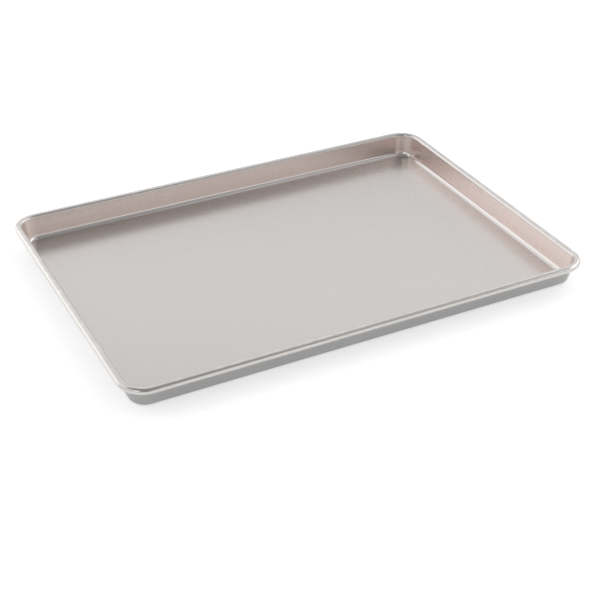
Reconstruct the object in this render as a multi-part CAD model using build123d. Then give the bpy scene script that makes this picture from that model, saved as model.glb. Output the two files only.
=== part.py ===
from build123d import *
import os
from math import cos, radians, sin

# A rimmed baking tray pressed from one steel sheet, with a wire rolled into its rim.
# The origin is on the underside of the floor, at the middle of the tray. X runs along the
# long sides and Z upwards. All lengths are in millimetres and all angles in degrees.

# The tray over its rim
overall_length = 457.0
overall_width = 324.0
overall_height = 24.0

# The sheet and its bends, with each radius taken on the upper face of the sheet
sheet_thickness = 0.8
floor_corner_radius = 10.0
floor_bend_radius = 5.0
wall_draft_angle = 10.0
shoulder_bend_radius = 2.6

# The wire in the rim
wire_diameter = 3.8
wire_clearance = 0.1
wire_end_gap = 0.6

# The roll of the rim round the wire
roll_turn_angle = 290.0
roll_to_wall_gap = 0.6

# What follows from these sizes
roll_radius = wire_diameter / 2 + wire_clearance + sheet_thickness
wall_turn_angle = 90 - wall_draft_angle
bend_rise = (floor_bend_radius + shoulder_bend_radius) * (1 - cos(radians(wall_turn_angle)))
bend_run = (floor_bend_radius + shoulder_bend_radius) * sin(radians(wall_turn_angle))
wall_rise = overall_height - sheet_thickness - bend_rise
wall_slant = wall_rise / sin(radians(wall_turn_angle))
wall_run = wall_slant * cos(radians(wall_turn_angle))
shoulder_flat = roll_radius + roll_to_wall_gap + sheet_thickness - shoulder_bend_radius

# From the edge of the flat floor out to the edge of the rim
side_run = bend_run + wall_run + shoulder_flat + roll_radius
rim_corner_radius = floor_corner_radius + side_run
floor_length = overall_length - 2 * side_run
floor_width = overall_width - 2 * side_run

# The upright axes that the four round corners share, from the middle of the tray
corner_axis_x = overall_length / 2 - rim_corner_radius
corner_axis_y = overall_width / 2 - rim_corner_radius


def sheet_line(depth):
    """The bent sheet in section, drawn at a depth below its upper face, from floor to roll."""
    floor_end = (floor_corner_radius, sheet_thickness - depth)
    floor_bend = JernArc(floor_end, (1, 0), floor_bend_radius + depth, wall_turn_angle)
    wall = PolarLine(floor_bend @ 1, wall_slant, wall_turn_angle)
    shoulder_bend = JernArc(wall @ 1, wall % 1, shoulder_bend_radius - depth, -wall_turn_angle)
    shoulder = PolarLine(shoulder_bend @ 1, shoulder_flat, 0)
    roll = JernArc(shoulder @ 1, shoulder % 1, roll_radius - depth, -roll_turn_angle)
    return [floor_bend, wall, shoulder_bend, shoulder, roll]


def side_section():
    """One side of the tray in section, measured outwards from a corner axis."""
    upper = sheet_line(0)
    lower = sheet_line(sheet_thickness)
    floor_edge = Line(upper[0] @ 0, lower[0] @ 0)
    cut_edge = Line(upper[-1] @ 1, lower[-1] @ 1)
    return Plane.XZ * make_face([*upper, cut_edge, *lower, floor_edge])


def wire_section():
    """The wire in section, in the middle of the roll."""
    across = rim_corner_radius - roll_radius
    up = overall_height - roll_radius
    return Plane.XZ * Pos(across, up) * Circle(wire_diameter / 2)


def carried_round(section):
    """A section taken along all four sides and round the four corners of the tray."""
    corner = revolve(section, Axis.Z, 90)
    reaches = [(corner_axis_x, corner_axis_y), (corner_axis_y, corner_axis_x)] * 2
    shapes = []
    for quarter, (outwards, along) in enumerate(reaches):
        turn = Rot(0, 0, 90 * quarter)
        side = extrude(Pos(outwards, 0, 0) * section, along, both=True)
        shapes.append(turn * side)
        shapes.append(turn * Pos(outwards, along, 0) * corner)
    return Part() + shapes


def pan_body():
    """The tray: its flat floor, flared walls, round corners and rolled rim in one sheet."""
    floor_outline = RectangleRounded(floor_length, floor_width, floor_corner_radius)
    return extrude(floor_outline, sheet_thickness) + carried_round(side_section())


def rim_wire():
    """The wire in the rim, bent to one loop whose ends meet behind, over a small gap."""
    across = overall_width / 2 - roll_radius
    up = overall_height - roll_radius
    gap = Pos(0, across, up) * Box(wire_end_gap, 2 * wire_diameter, 2 * wire_diameter)
    return carried_round(wire_section()) - gap


nodes = {
    "pan_body": pan_body(),
    "rim_wire": rim_wire(),
}

os.makedirs("parts", exist_ok=True)
for name, shape in nodes.items():
    export_step(shape, f"parts/{name}.step")
    print(name, len(shape.solids()), "solid,", round(shape.volume), "cubic mm")
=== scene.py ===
import math

import bmesh
import bpy
from mathutils import Matrix, Vector


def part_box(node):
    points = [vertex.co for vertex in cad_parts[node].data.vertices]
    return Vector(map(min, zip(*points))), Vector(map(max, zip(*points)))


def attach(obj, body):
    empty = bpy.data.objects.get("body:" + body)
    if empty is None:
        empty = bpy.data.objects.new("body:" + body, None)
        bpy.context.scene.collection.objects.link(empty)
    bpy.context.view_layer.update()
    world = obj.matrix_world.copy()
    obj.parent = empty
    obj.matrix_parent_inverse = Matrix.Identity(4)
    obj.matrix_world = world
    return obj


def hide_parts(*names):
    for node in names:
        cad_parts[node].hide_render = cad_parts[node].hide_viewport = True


# A rimmed baking sheet on a white table. Lengths are metres and angles degrees.

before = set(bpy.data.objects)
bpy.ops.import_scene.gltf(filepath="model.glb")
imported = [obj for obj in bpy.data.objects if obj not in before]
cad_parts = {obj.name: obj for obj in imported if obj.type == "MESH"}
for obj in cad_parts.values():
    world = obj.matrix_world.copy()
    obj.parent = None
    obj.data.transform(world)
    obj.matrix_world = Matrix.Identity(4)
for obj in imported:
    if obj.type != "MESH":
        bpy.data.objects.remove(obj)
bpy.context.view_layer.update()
mm = 0.001
tiny = 0.01 * mm


# selecting and node helpers

def deselectAll():
    bpy.ops.object.select_all(action="DESELECT")


def activate(piece):
    deselectAll()
    piece.select_set(True)
    bpy.context.view_layer.objects.active = piece


def selectWhere(piece, isWanted):
    # selects the vertices whose place passes the test, with the edges and faces between them
    bpy.ops.mesh.select_all(action="DESELECT")
    mesh = bmesh.from_edit_mesh(piece.data)
    for vert in mesh.verts:
        vert.select = isWanted(vert.co)
    mesh.select_flush(True)
    bmesh.update_edit_mesh(piece.data)


def applyModifier(piece, kind, **settings):
    modifier = piece.modifiers.new(kind.title(), kind)
    for name, value in settings.items():
        setattr(modifier, name, value)
    activate(piece)
    bpy.ops.object.modifier_apply(modifier=modifier.name)


def addNode(tree, kind, inputs=None, **settings):
    node = tree.nodes.new(kind)
    for name, value in settings.items():
        setattr(node, name, value)
    for name, value in (inputs or {}).items():
        node.inputs[name].default_value = value
    return node


def newMaterial(name):
    material = bpy.data.materials.new(name)
    material.use_nodes = True
    tree = material.node_tree
    tree.nodes.clear()
    output = addNode(tree, "ShaderNodeOutputMaterial")
    return material, tree, output


# the pan: one pressed sheet, modelled as a quarter of its upper face, mirrored and then
# given its thickness

pan = {
    "sheet": 0.8 * mm,
    "floorCorner": 10.0 * mm,  # corner radius of the flat floor
    "floorBend": 5.0 * mm,  # the bends' radii are those of the sheet's upper face
    "shoulderBend": 2.6 * mm,
    "rollGap": 0.6 * mm,  # from the roll to the wall beside it
    "wallDraft": 10,
    "rollTurn": 290,
    "strip": 0.4 * mm,  # a narrow strip beside each bend that keeps the flat next to it flat
    "floorBendSteps": 14,
    "shoulderSteps": 12,
    "rollSteps": 40,
    "cornerSteps": 32,
    "smoothAngle": 40,
}


def extrudeBy(dx, dy, dz):
    bpy.ops.mesh.extrude_region_move(TRANSFORM_OT_translate={"value": (dx, dy, dz)})


def spinUp(centre, turn, steps):
    # turns the selection about a line along Y, from +X to +Z, or down again if turn is negative
    way = 1 if turn > 0 else -1
    bpy.ops.mesh.spin(
        steps=steps, angle=math.radians(abs(turn)), center=centre, axis=(0, way, 0),
        use_auto_merge=False,
    )


def modelPan():
    low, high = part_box("pan_body")
    wireLow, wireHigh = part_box("rim_wire")
    rollRadius = high.z - (wireLow.z + wireHigh.z) / 2
    wallTurn = 90 - pan["wallDraft"]
    wallWay = Vector((math.cos(math.radians(wallTurn)), 0, math.sin(math.radians(wallTurn))))
    bends = pan["floorBend"] + pan["shoulderBend"]
    wallSlant = (high.z - pan["sheet"] - bends * (1 - wallWay.x)) / wallWay.z
    shoulderFlat = rollRadius + pan["rollGap"] + pan["sheet"] - pan["shoulderBend"]
    sideRun = bends * wallWay.z + wallSlant * wallWay.x + shoulderFlat + rollRadius
    axisX = high.x - sideRun - pan["floorCorner"]
    axisY = high.y - sideRun - pan["floorCorner"]

    deselectAll()
    bpy.ops.mesh.primitive_plane_add(size=1, location=(axisX / 2, axisY / 2, pan["sheet"]))
    piece = bpy.context.active_object
    piece.name = "panShell"
    piece.data.name = "panShell"
    bpy.ops.transform.resize(value=(axisX, axisY, 1))
    bpy.ops.object.transform_apply(location=True, rotation=True, scale=True)

    bpy.ops.object.mode_set(mode="EDIT")
    bpy.ops.mesh.select_mode(type="VERT")
    corner = Vector((axisX, axisY, pan["sheet"]))
    selectWhere(piece, lambda place: (place - corner).length < tiny)

    # the section, drawn outwards from the corner's axis: floor, bend, wall, shoulder and roll
    strip = pan["strip"]
    x, z = axisX + pan["floorCorner"], pan["sheet"]
    extrudeBy(pan["floorCorner"] - strip, 0, 0)
    extrudeBy(strip, 0, 0)
    spinUp((x, axisY, z + pan["floorBend"]), wallTurn, pan["floorBendSteps"])
    for length in (strip, wallSlant - 2 * strip, strip):
        extrudeBy(*(wallWay * length))
    x = high.x - rollRadius - shoulderFlat
    spinUp((x, axisY, high.z - pan["shoulderBend"]), -wallTurn, pan["shoulderSteps"])
    extrudeBy(shoulderFlat, 0, 0)
    x = high.x - rollRadius
    spinUp((x, axisY, high.z - rollRadius), -pan["rollTurn"], pan["rollSteps"])

    # the section goes round the corner and along both straight sides
    selectWhere(piece, lambda place: place.x > axisX - tiny and place.y > axisY - tiny)
    bpy.ops.mesh.spin(steps=pan["cornerSteps"], angle=math.pi / 2, center=corner, axis=(0, 0, -1))
    bpy.ops.mesh.select_all(action="SELECT")
    bpy.ops.mesh.remove_doubles(threshold=tiny)
    selectWhere(piece, lambda place: abs(place.y - axisY) < tiny and place.x > axisX - tiny)
    extrudeBy(0, -axisY, 0)
    selectWhere(piece, lambda place: abs(place.x - axisX) < tiny and place.y > axisY - tiny)
    extrudeBy(-axisX, 0, 0)
    bpy.ops.mesh.select_all(action="SELECT")
    bpy.ops.mesh.remove_doubles(threshold=tiny)
    bpy.ops.object.mode_set(mode="OBJECT")

    # the rim, with the shoulder's bend, has a finish of its own
    rimStart = high.x - axisX - rollRadius - shoulderFlat - pan["shoulderBend"]
    for face in piece.data.polygons:
        reach = math.hypot(max(face.center.x - axisX, 0), max(face.center.y - axisY, 0))
        face.material_index = 2 if reach > rimStart else 0

    applyModifier(
        piece, "MIRROR", use_axis=(True, True, False), use_clip=False, merge_threshold=tiny
    )
    bpy.ops.object.mode_set(mode="EDIT")
    bpy.ops.mesh.select_all(action="SELECT")
    bpy.ops.mesh.normals_make_consistent(inside=False)
    mesh = bmesh.from_edit_mesh(piece.data)
    floorFace = max(mesh.faces, key=lambda face: face.calc_area())
    if floorFace.normal.z < 0:
        bpy.ops.mesh.flip_normals()
    bpy.ops.object.mode_set(mode="OBJECT")
    return piece


def finishPan(piece, upperCoat, rimCoat, lowerCoat, cutEdge):
    # a face's under side takes the next slot, and the cut edge the one after
    for material in (upperCoat, lowerCoat, rimCoat, lowerCoat, cutEdge):
        piece.data.materials.append(material)
    applyModifier(
        piece, "SOLIDIFY", thickness=pan["sheet"], offset=-1, use_even_offset=True,
        material_offset=1, material_offset_rim=2,
    )
    activate(piece)
    bpy.ops.object.shade_smooth_by_angle(angle=math.radians(pan["smoothAngle"]))
    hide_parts("pan_body")
    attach(piece, "root")


# what the finishes share: each effect is one node group, placed in a material with its own values

def feed(tree, socket, value):
    # a socket takes another node's output or a plain value
    if isinstance(value, bpy.types.NodeSocket):
        tree.links.new(value, socket)
    else:
        socket.default_value = value


def calc(tree, operation, *values):
    node = addNode(tree, "ShaderNodeMath", operation=operation)
    for socket, value in zip(node.inputs, values):
        feed(tree, socket, value)
    return node.outputs[0]


def fade(tree, value, start, end):
    # 0 before start and 1 past end, eased between them
    node = addNode(tree, "ShaderNodeMapRange", interpolation_type="SMOOTHSTEP")
    feed(tree, node.inputs["Value"], value)
    feed(tree, node.inputs["From Min"], start)
    feed(tree, node.inputs["From Max"], end)
    return node.outputs["Result"]


def band(tree, value, rise, fall):
    # 1 in the middle of a range, eased in over the first pair of values and out over the second
    above = fade(tree, value, *rise)
    below = calc(tree, "SUBTRACT", 1.0, fade(tree, value, *fall))
    return calc(tree, "MULTIPLY", above, below)


def around(tree, value, spread):
    # noise round 0.5 made a factor round 1, up to half the spread each way
    return calc(tree, "MULTIPLY_ADD", value, spread, 1 - spread / 2)


def scaleBy(tree, vector, factor):
    # a colour made brighter or darker, or a vector longer or shorter
    node = addNode(tree, "ShaderNodeVectorMath", operation="SCALE")
    feed(tree, node.inputs[0], vector)
    feed(tree, node.inputs["Scale"], factor)
    return node.outputs["Vector"]


def blendColor(tree, factor, first, second):
    node = addNode(tree, "ShaderNodeMix", data_type="RGBA")
    feed(tree, node.inputs["Factor"], factor)
    for socket, value in zip([i for i in node.inputs if i.type == "RGBA"], (first, second)):
        feed(tree, socket, (*value, 1) if isinstance(value, tuple) else value)
    return next(o for o in node.outputs if o.type == "RGBA")


def stretched(tree, vector, size, turn):
    # the place in the pattern's own units, with the pattern turned about Z
    turned = addNode(
        tree, "ShaderNodeVectorRotate", {"Angle": math.radians(turn)}, rotation_type="Z_AXIS"
    )
    feed(tree, turned.inputs["Vector"], vector)
    scaled = addNode(tree, "ShaderNodeVectorMath", operation="DIVIDE")
    tree.links.new(turned.outputs[0], scaled.inputs[0])
    feed(tree, scaled.inputs[1], size)
    return scaled.outputs[0]


def noise(tree, vector, size, detail, roughness):
    # noise whose largest blotches are about as wide as size
    node = addNode(tree, "ShaderNodeTexNoise", {"Detail": detail, "Roughness": roughness})
    feed(tree, node.inputs["Vector"], vector)
    feed(tree, node.inputs["Scale"], calc(tree, "DIVIDE", 1.0, size))
    return node.outputs[0]


def newGroup(name, inputs, outputs):
    # inputs are given as name: default, and a default of None is a vector
    group = bpy.data.node_groups.new(name, "ShaderNodeTree")
    for socketName, default in inputs.items():
        kind = "NodeSocketVector" if default is None else "NodeSocketFloat"
        socket = group.interface.new_socket(socketName, in_out="INPUT", socket_type=kind)
        if default is not None:
            socket.default_value = default
    for socketName in outputs:
        group.interface.new_socket(socketName, in_out="OUTPUT", socket_type="NodeSocketFloat")
    given = addNode(group, "NodeGroupInput").outputs
    return group, given, addNode(group, "NodeGroupOutput").inputs


def place(tree, group, **values):
    node = addNode(tree, "ShaderNodeGroup", node_tree=group)
    for name, value in values.items():
        feed(tree, node.inputs[name], value)
    return node.outputs


satin = {
    # each layer's noise: detail and roughness
    "ripple": (2, 0.4),
    "fleck": (1, 0.5),
    "patch": (3, 0.55),
}


def makeSatinGrain():
    # a sprayed and baked coat: shallow ripple, fine metallic fleck and broad uneven patches
    group, given, result = newGroup(
        "satinGrain",
        {"Vector": None, "Ripple Size": 1.4 * mm, "Fleck Size": 0.3 * mm, "Patch Size": 70 * mm},
        ("Ripple", "Fleck", "Patch"),
    )
    for name, values in satin.items():
        size = given[name.title() + " Size"]
        group.links.new(noise(group, given["Vector"], size, *values), result[name.title()])
    return group


scuffing = {
    "turns": (17, 71, 128),  # the directions in which the scratches lie
    "bendSize": 60 * mm,  # how long and how wide the bends in them are
    "bend": 12 * mm,
    "cellLength": 3.0,  # a cell's size, in lengths and widths of its scratch
    "cellWidth": 6.0,
    "edge": (0.06, 0.17),  # where a scratch fades out in its cell
    "faintest": 0.3,
}


def makeScuffs():
    # short fine scratches, thrown sparsely over the surface in a few directions
    group, given, result = newGroup(
        "scuffs",
        {"Vector": None, "Length": 26 * mm, "Width": 0.16 * mm, "Share": 0.05},
        ("Mask",),
    )
    bends = {"Scale": 1 / scuffing["bendSize"], "Detail": 1}
    drift = addNode(group, "ShaderNodeTexNoise", bends)
    group.links.new(given["Vector"], drift.inputs["Vector"])
    centred = addNode(group, "ShaderNodeVectorMath", {1: (0.5, 0.5, 0.5)}, operation="SUBTRACT")
    group.links.new(drift.outputs["Color"], centred.inputs[0])
    bend = scaleBy(group, centred.outputs[0], scuffing["bend"])
    bent = addNode(group, "ShaderNodeVectorMath", operation="ADD")
    group.links.new(given["Vector"], bent.inputs[0])
    group.links.new(bend, bent.inputs[1])
    # a scratch is the long middle of a stretched cell, and only a share of the cells has one
    cell = addNode(group, "ShaderNodeCombineXYZ", {"Z": 1.0})
    for axis, name in (("X", "Length"), ("Y", "Width")):
        size = calc(group, "MULTIPLY", given[name], scuffing["cell" + name])
        group.links.new(size, cell.inputs[axis])
    total = None
    for turn in scuffing["turns"]:
        spots = addNode(group, "ShaderNodeTexVoronoi", {"Scale": 1.0}, voronoi_dimensions="2D")
        where = stretched(group, bent.outputs[0], cell.outputs[0], turn)
        group.links.new(where, spots.inputs["Vector"])
        split = addNode(group, "ShaderNodeSeparateColor")
        group.links.new(spots.outputs["Color"], split.inputs[0])
        kept = calc(group, "LESS_THAN", split.outputs[0], given["Share"])
        faintest = scuffing["faintest"]
        depth = calc(group, "MULTIPLY_ADD", split.outputs[1], 1 - faintest, faintest)
        beside = fade(group, spots.outputs["Distance"], *scuffing["edge"])
        line = calc(group, "SUBTRACT", 1.0, beside)
        mark = calc(group, "MULTIPLY", calc(group, "MULTIPLY", line, kept), depth)
        total = mark if total is None else calc(group, "MAXIMUM", total, mark)
    group.links.new(total, result["Mask"])
    return group


rubbing = {
    # the noise that breaks a rubbed band up, and where it starts and is complete
    "detail": 5,
    "roughness": 0.62,
    "patches": (0.42, 0.66),
}


def makeRubbedBand():
    # where a height between two others is rubbed by use, in broken patches
    sizes = {"Low": 0.0, "High": 1 * mm, "Soft": 0.5 * mm, "Break Size": 9 * mm}
    group, given, result = newGroup(
        "rubbedBand", {"Vector": None, "Height": 0.0, **sizes}, ("Mask",)
    )
    low, high, soft = given["Low"], given["High"], given["Soft"]
    rise = (calc(group, "SUBTRACT", low, soft), low)
    fall = (high, calc(group, "ADD", high, soft))
    inside = band(group, given["Height"], rise, fall)
    patches = noise(
        group, given["Vector"], given["Break Size"], rubbing["detail"], rubbing["roughness"]
    )
    broken = fade(group, patches, *rubbing["patches"])
    group.links.new(calc(group, "MULTIPLY", inside, broken), result["Mask"])
    return group


drawing = {"Scale": 1.0, "Detail": 3, "Roughness": 0.6}


def makeDrawLines():
    # fine lines that a die or a roller drew in the metal, along the direction where Cell is long
    group, given, result = newGroup("drawLines", {"Vector": None, "Cell": None}, ("Line",))
    scaled = addNode(group, "ShaderNodeVectorMath", operation="DIVIDE")
    group.links.new(given["Vector"], scaled.inputs[0])
    group.links.new(given["Cell"], scaled.inputs[1])
    lines = addNode(group, "ShaderNodeTexNoise", drawing)
    group.links.new(scaled.outputs[0], lines.inputs["Vector"])
    group.links.new(lines.outputs[0], result["Line"])
    return group


print("finishes")
satinGrain = makeSatinGrain()
scuffs = makeScuffs()
rubbedBand = makeRubbedBand()
drawLines = makeDrawLines()


def startMetal(name, metallic, bumpDepth):
    material, tree, output = newMaterial(name)
    where = addNode(tree, "ShaderNodeTexCoord").outputs["Object"]
    shader = addNode(tree, "ShaderNodeBsdfPrincipled", {"Metallic": metallic})
    relief = addNode(tree, "ShaderNodeBump", {"Strength": 1.0, "Distance": bumpDepth})
    tree.links.new(relief.outputs[0], shader.inputs["Normal"])
    tree.links.new(shader.outputs[0], output.inputs["Surface"])
    return material, tree, where, shader, relief


def heightOf(tree, where):
    split = addNode(tree, "ShaderNodeSeparateXYZ")
    tree.links.new(where, split.inputs[0])
    return split.outputs["Z"]


def shadeOf(tree, look, grain):
    # the coat's brightness, varied over broad patches and from fleck to fleck
    patches = around(tree, grain["Patch"], look["patch"])
    return calc(tree, "MULTIPLY", patches, around(tree, grain["Fleck"], look["fleck"]))


# the coat inside the pan and over the rim: warm light grey, satin; on the walls its colour also
# holds painted reflection and painted shade

upperFinish = {
    # colour by height over the table: floor, foot of the wall, wall up to near its top, shoulder;
    # the walls' warmer, brighter colour is painted reflection and their darker foot is painted
    # shade
    "heights": (2.6 * mm, 5.5 * mm, 17.5 * mm, 21.0 * mm, 22.8 * mm),
    "coatAndShadeColors": (
        (0.65, 0.62, 0.603),
        (0.71, 0.605, 0.565),
        (0.765, 0.665, 0.63),
        (0.765, 0.665, 0.63),
        (0.65, 0.625, 0.605),
    ),
    "metallic": 0.92,
    "roughness": 0.27,
    "roughPatch": 0.16,  # how far the roughness varies over patches and from fleck to fleck
    "roughFleck": 0.12,
    "patch": 0.04,  # the same for the brightness
    "fleck": 0.05,
    "ripple": 0.02 * mm,
    "scratchShare": 0.02,
    "scratch": 0.03,  # how much brighter, rougher and deeper a scratch is
    "scratchRough": 0.08,
    "scratchDepth": 0.08,
    "burnished": 0.09,  # how much smoother the punch left the bend round the floor
    "burnishedIn": (0.0, 0.3 * mm),  # eased in over the floor and out about the bend's top
    "burnishedOut": (-1.0 * mm, 0.5 * mm),
    "rubbed": 0.0,
}

rimFinish = {
    **upperFinish,
    "heights": (0.0, 24 * mm),
    "coatAndShadeColors": ((0.64, 0.615, 0.595), (0.64, 0.615, 0.595)),
    "roughness": 0.17,
    "scratchShare": 0.05,
    "scratch": 0.05,
    "burnished": 0.0,
    "rubbed": 0.6,  # how far the top of the rim is rubbed, in patches
    "rubbedColor": (0.73, 0.71, 0.695),
    "rubbedRough": -0.03,
    "crest": 0.25 * mm,  # how far under the rim's top it is rubbed, and how softly that ends
    "crestSoft": 0.5 * mm,
}


def makeTopCoat(name, look):
    material, tree, where, shader, relief = startMetal(name, look["metallic"], look["ripple"])
    height = heightOf(tree, where)
    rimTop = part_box("pan_body")[1].z
    # colour by height: on the inner walls a painted reflection, warmer and brighter than the
    # floor, and painted shade darkening towards the foot
    coatAndPaintedShade = addNode(tree, "ShaderNodeValToRGB")
    coatAndPaintedShade.color_ramp.interpolation = "EASE"
    stops = coatAndPaintedShade.color_ramp.elements
    while len(stops) < len(look["heights"]):
        stops.new(0.5)
    for stop, level, color in zip(stops, look["heights"], look["coatAndShadeColors"]):
        stop.position = level / rimTop
        stop.color = (*color, 1)
    feed(tree, coatAndPaintedShade.inputs["Fac"], calc(tree, "DIVIDE", height, rimTop))
    color = coatAndPaintedShade.outputs["Color"]
    grain = place(tree, satinGrain, **{"Vector": where})
    share = look["scratchShare"]
    scratch = place(tree, scuffs, **{"Vector": where, "Share": share})["Mask"]
    rough = around(tree, grain["Patch"], look["roughPatch"])
    rough = calc(tree, "MULTIPLY", look["roughness"], rough)
    rough = calc(tree, "MULTIPLY_ADD", scratch, look["scratchRough"], rough)
    if look["burnished"]:
        floorTop, bendTop = pan["sheet"], pan["sheet"] + pan["floorBend"]
        rise = [floorTop + step for step in look["burnishedIn"]]
        fall = [bendTop + step for step in look["burnishedOut"]]
        bend = band(tree, height, rise, fall)
        rough = calc(tree, "MULTIPLY_ADD", bend, -look["burnished"], rough)
    if look["rubbed"]:
        crest = place(tree, rubbedBand, **{
            "Vector": where, "Height": height,
            "Low": rimTop - look["crest"], "High": rimTop, "Soft": look["crestSoft"],
        })["Mask"]
        rubbed = calc(tree, "MULTIPLY", crest, look["rubbed"])
        color = blendColor(tree, rubbed, color, look["rubbedColor"])
        rough = calc(tree, "MULTIPLY_ADD", crest, look["rubbedRough"], rough)
    shade = shadeOf(tree, look, grain)
    shade = calc(tree, "MULTIPLY_ADD", scratch, look["scratch"], shade)
    tree.links.new(scaleBy(tree, color, shade), shader.inputs["Base Color"])
    rough = calc(tree, "MULTIPLY", rough, around(tree, grain["Fleck"], look["roughFleck"]))
    tree.links.new(rough, shader.inputs["Roughness"])
    groove = calc(tree, "MULTIPLY_ADD", scratch, -look["scratchDepth"], grain["Ripple"])
    tree.links.new(groove, relief.inputs["Height"])
    return material


# the coat outside and underneath: plain grey and thinner, so that the sheet's grain shows through

lowerFinish = {
    "color": (0.385, 0.385, 0.385),
    "metallic": 0.92,
    "roughness": 0.26,
    "roughPatch": 0.2,
    "patch": 0.07,
    "patchSize": 45 * mm,
    "fleck": 0.06,
    "ripple": 0.03 * mm,
    "rippleSize": 1.1 * mm,
    "grain": 0.05,  # how far the rolled grain shows in the brightness, roughness and relief
    "grainRough": 0.05,
    "grainDepth": 0.25,
    "grainCell": (40 * mm, 0.6 * mm, 6 * mm),
    "scratch": 0.16,
    "scratchShare": 0.16,
    "scratchLength": 38 * mm,
    "scratchWidth": 0.22 * mm,
    "scratchDepth": 0.2,
    "rubbed": 0.25,  # how far the underside is rubbed where it slides on racks and tables
    "rubbedColor": (0.56, 0.555, 0.55),
    "rubbedHeight": 0.1 * mm,
    "rubbedSoft": 0.5 * mm,
    "rubbedSize": 16 * mm,
}


def makeLowerCoat():
    look = lowerFinish
    material, tree, where, shader, relief = startMetal(
        "lowerCoat", look["metallic"], look["ripple"]
    )
    grain = place(tree, satinGrain, **{
        "Vector": where, "Ripple Size": look["rippleSize"], "Patch Size": look["patchSize"],
    })
    scratch = place(tree, scuffs, **{
        "Vector": where, "Length": look["scratchLength"], "Width": look["scratchWidth"],
        "Share": look["scratchShare"],
    })["Mask"]
    rolled = place(tree, drawLines, **{"Vector": where, "Cell": look["grainCell"]})["Line"]
    rubbed = place(tree, rubbedBand, **{
        "Vector": where, "Height": heightOf(tree, where), "Low": 0.0,
        "High": look["rubbedHeight"], "Soft": look["rubbedSoft"], "Break Size": look["rubbedSize"],
    })["Mask"]
    rubbed = calc(tree, "MULTIPLY", rubbed, look["rubbed"])
    color = blendColor(tree, rubbed, look["color"], look["rubbedColor"])
    shade = shadeOf(tree, look, grain)
    shade = calc(tree, "MULTIPLY", shade, around(tree, rolled, look["grain"]))
    shade = calc(tree, "MULTIPLY_ADD", scratch, look["scratch"], shade)
    tree.links.new(scaleBy(tree, color, shade), shader.inputs["Base Color"])
    rough = around(tree, grain["Patch"], look["roughPatch"])
    rough = calc(tree, "MULTIPLY", look["roughness"], rough)
    rough = calc(tree, "MULTIPLY_ADD", rolled, look["grainRough"], rough)
    rough = calc(tree, "SUBTRACT", rough, look["grainRough"] / 2)
    tree.links.new(rough, shader.inputs["Roughness"])
    groove = calc(tree, "MULTIPLY_ADD", scratch, -look["scratchDepth"], grain["Ripple"])
    groove = calc(tree, "MULTIPLY_ADD", rolled, look["grainDepth"], groove)
    tree.links.new(groove, relief.inputs["Height"])
    return material


def makeLinedSteel(name, look):
    # bare steel with drawn lines in its brightness, roughness and relief
    material, tree, where, shader, relief = startMetal(name, look["metallic"], look["relief"])
    lines = place(tree, drawLines, **{"Vector": where, "Cell": look["cell"]})["Line"]
    shade = around(tree, lines, look["lines"])
    if look["patch"]:
        patchSize = {"Vector": where, "Patch Size": look["patchSize"]}
        patch = place(tree, satinGrain, **patchSize)["Patch"]
        shade = calc(tree, "MULTIPLY", shade, around(tree, patch, look["patch"]))
    tree.links.new(scaleBy(tree, look["color"], shade), shader.inputs["Base Color"])
    rough = calc(tree, "MULTIPLY", look["roughness"], around(tree, lines, look["roughLines"]))
    tree.links.new(rough, shader.inputs["Roughness"])
    tree.links.new(lines, relief.inputs["Height"])
    return material


# the sheared edge of the sheet, inside the roll

edgeFinish = {
    "color": (0.60, 0.59, 0.57),
    "metallic": 1.0,
    "roughness": 0.42,
    "relief": 0.04 * mm,
    "cell": (0.25 * mm, 0.25 * mm, 1.5 * mm),
    "lines": 0.3,
    "roughLines": 0.5,
    "patch": 0.0,
}

# the wire in the rim: bright drawn steel, with fine lines all along it

wireFinish = {
    "color": (0.62, 0.62, 0.62),
    "metallic": 1.0,
    "roughness": 0.32,
    "relief": 0.012 * mm,
    "cell": (30 * mm, 30 * mm, 0.12 * mm),
    "lines": 0.2,
    "roughLines": 0.4,
    "patch": 0.12,
    "patchSize": 25 * mm,
}


print("modelling the pan")
shell = modelPan()
finishPan(
    shell,
    upperCoat=makeTopCoat("upperCoat", upperFinish),
    rimCoat=makeTopCoat("rimCoat", rimFinish),
    lowerCoat=makeLowerCoat(),
    cutEdge=makeLinedSteel("cutEdge", edgeFinish),
)
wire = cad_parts["rim_wire"]
wire.data.materials.clear()
wire.data.materials.append(makeLinedSteel("drawnWire", wireFinish))


# table, light and camera

table = {
    "size": 12.0,
    "drop": 0.05 * mm,  # how far it lies under the pan, so that the two don't share a plane
    "color": 0.9,
    "glow": 0.46,  # added for the camera and in reflections, so that the bare table shows white
}


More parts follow.
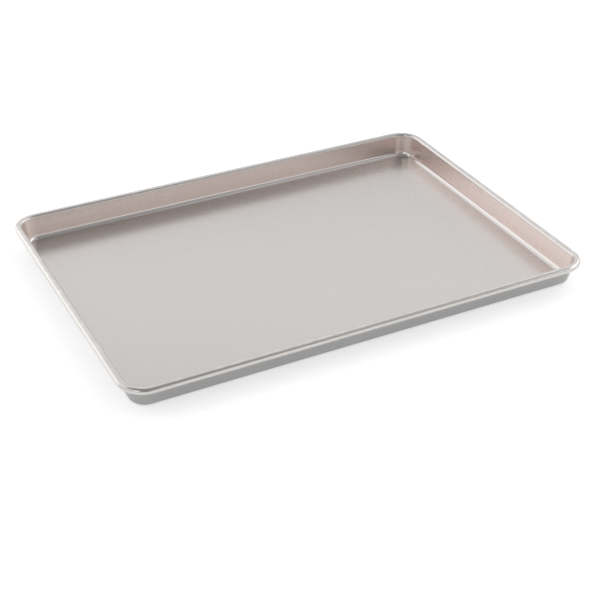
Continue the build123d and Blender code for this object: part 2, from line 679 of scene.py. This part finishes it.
def makeTable():
    deselectAll()
    bpy.ops.mesh.primitive_plane_add(size=table["size"], location=(0, 0, -table["drop"]))
    plane = bpy.context.active_object
    plane.name = "table"
    material, tree, output = newMaterial("tablePaper")
    diffuse = addNode(tree, "ShaderNodeBsdfDiffuse", {"Color": (table["color"],) * 3 + (1,)})
    glow = addNode(tree, "ShaderNodeEmission", {"Color": (1, 1, 1, 1)})
    lightPath = addNode(tree, "ShaderNodeLightPath").outputs
    isSeen = calc(tree, "MAXIMUM", lightPath["Is Camera Ray"], lightPath["Is Glossy Ray"])
    tree.links.new(calc(tree, "MULTIPLY", isSeen, table["glow"]), glow.inputs["Strength"])
    both = addNode(tree, "ShaderNodeAddShader")
    tree.links.new(diffuse.outputs[0], both.inputs[0])
    tree.links.new(glow.outputs[0], both.inputs[1])
    # clear from below, so that the pan's underside can be looked at
    clear = addNode(tree, "ShaderNodeBsdfTransparent")
    geometry = addNode(tree, "ShaderNodeNewGeometry")
    oneSided = addNode(tree, "ShaderNodeMixShader")
    tree.links.new(geometry.outputs["Backfacing"], oneSided.inputs["Fac"])
    tree.links.new(both.outputs[0], oneSided.inputs[1])
    tree.links.new(clear.outputs[0], oneSided.inputs[2])
    tree.links.new(oneSided.outputs[0], output.inputs["Surface"])
    plane.data.materials.append(material)


room = {
    "level": 0.32,  # the brightness of the room between the lamps
    "lampDistance": 3.0,
}


def makeRoom():
    world = bpy.data.worlds.new("room")
    bpy.context.scene.world = world
    world.use_nodes = True
    tree = world.node_tree
    tree.nodes.clear()
    output = addNode(tree, "ShaderNodeOutputWorld")
    lit = addNode(tree, "ShaderNodeBackground", {"Color": (room["level"],) * 3 + (1,)})
    tree.links.new(lit.outputs[0], output.inputs["Surface"])


lamps = {
    # name: compass turn from +Y towards +X, rise, width, height, brightness over the room's
    "backLow": (30, 7, 4.2, 0.74, 0.71),
    "backMiddle": (30, 20, 4.2, 0.63, 0.39),
    "backHigh": (30, 33, 4.2, 0.74, 0.75),
    "backTop": (30, 48, 4.2, 0.84, 0.42),
    "leftBackLow": (-35, 7, 2.8, 0.74, 1.23),
    "leftBack": (-35, 23, 2.8, 0.95, 1.25),
    "leftBackHigh": (-35, 46, 2.8, 1.5, 0.71),
    "leftLow": (-95, 12, 3.46, 1.28, 0.39),
    "left": (-95, 36, 3.46, 1.28, 0.75),
    "frontLeft": (-128, 35, 0.74, 1.17, 1.3),
    "frontLeftLow": (-150, 4, 1.6, 0.42, 0.4),
    "frontRightLow": (150, 6, 2.18, 0.63, 0.42),
    "frontRight": (150, 19, 2.18, 0.74, 0.88),
    "frontRightHigh": (145, 50, 2.4, 1.2, 0.12),
    "front": (181, 14, 0.84, 1.28, 0.56),
    "rightLow": (95, 12, 3.46, 1.28, 0.6),
    "right": (95, 36, 3.46, 1.28, 1.5),
    "rightTop": (75, 65, 3.46, 0.95, 0.3),
}


def makeLamp(name, turn, rise, width, height, brightness):
    turn, rise = math.radians(turn), math.radians(rise)
    flat = math.cos(rise)
    way = Vector((math.sin(turn) * flat, math.cos(turn) * flat, math.sin(rise)))
    data = bpy.data.lights.new(name, "AREA")
    data.shape = "RECTANGLE"
    data.size = width
    data.size_y = height
    data.energy = brightness * math.pi * width * height
    lamp = bpy.data.objects.new(name, data)
    bpy.context.scene.collection.objects.link(lamp)
    lamp.location = way * room["lampDistance"]
    lamp.rotation_mode = "QUATERNION"
    lamp.rotation_quaternion = way.to_track_quat("Z", "Y")


# the camera stands where the photograph's stood, worked out from the pan's edges
shot = {
    "azimuth": -27.273,
    "elevation": 32.662,
    "roll": 0.263,
    "distance": 1.1827,
    "target": (-24.43 * mm, -64.15 * mm, 0),
    "lens": 77.54,
    "sensor": 36,
    "clip": (0.01, 50),
}


def makeCamera():
    turn, rise, roll = (math.radians(shot[name]) for name in ("azimuth", "elevation", "roll"))
    flat = math.cos(rise)
    back = Vector((math.sin(turn) * flat, -math.cos(turn) * flat, math.sin(rise)))
    right = Vector((math.cos(turn), math.sin(turn), 0))
    up = back.cross(right)
    rightRolled = right * math.cos(roll) + up * math.sin(roll)
    upRolled = up * math.cos(roll) - right * math.sin(roll)
    data = bpy.data.cameras.new("shot")
    data.sensor_width = shot["sensor"]
    data.lens = shot["lens"]
    data.clip_start, data.clip_end = shot["clip"]
    camera = bpy.data.objects.new("shot", data)
    bpy.context.scene.collection.objects.link(camera)
    axes = Matrix((rightRolled, upRolled, back)).transposed()
    stand = Vector(shot["target"]) + back * shot["distance"]
    camera.matrix_world = Matrix.Translation(stand) @ axes.to_4x4()
    bpy.context.scene.camera = camera


print("table, light and camera")
makeTable()
makeRoom()
for name, values in lamps.items():
    makeLamp(name, *values)
makeCamera()
bpy.context.scene.view_settings.view_transform = "Standard"
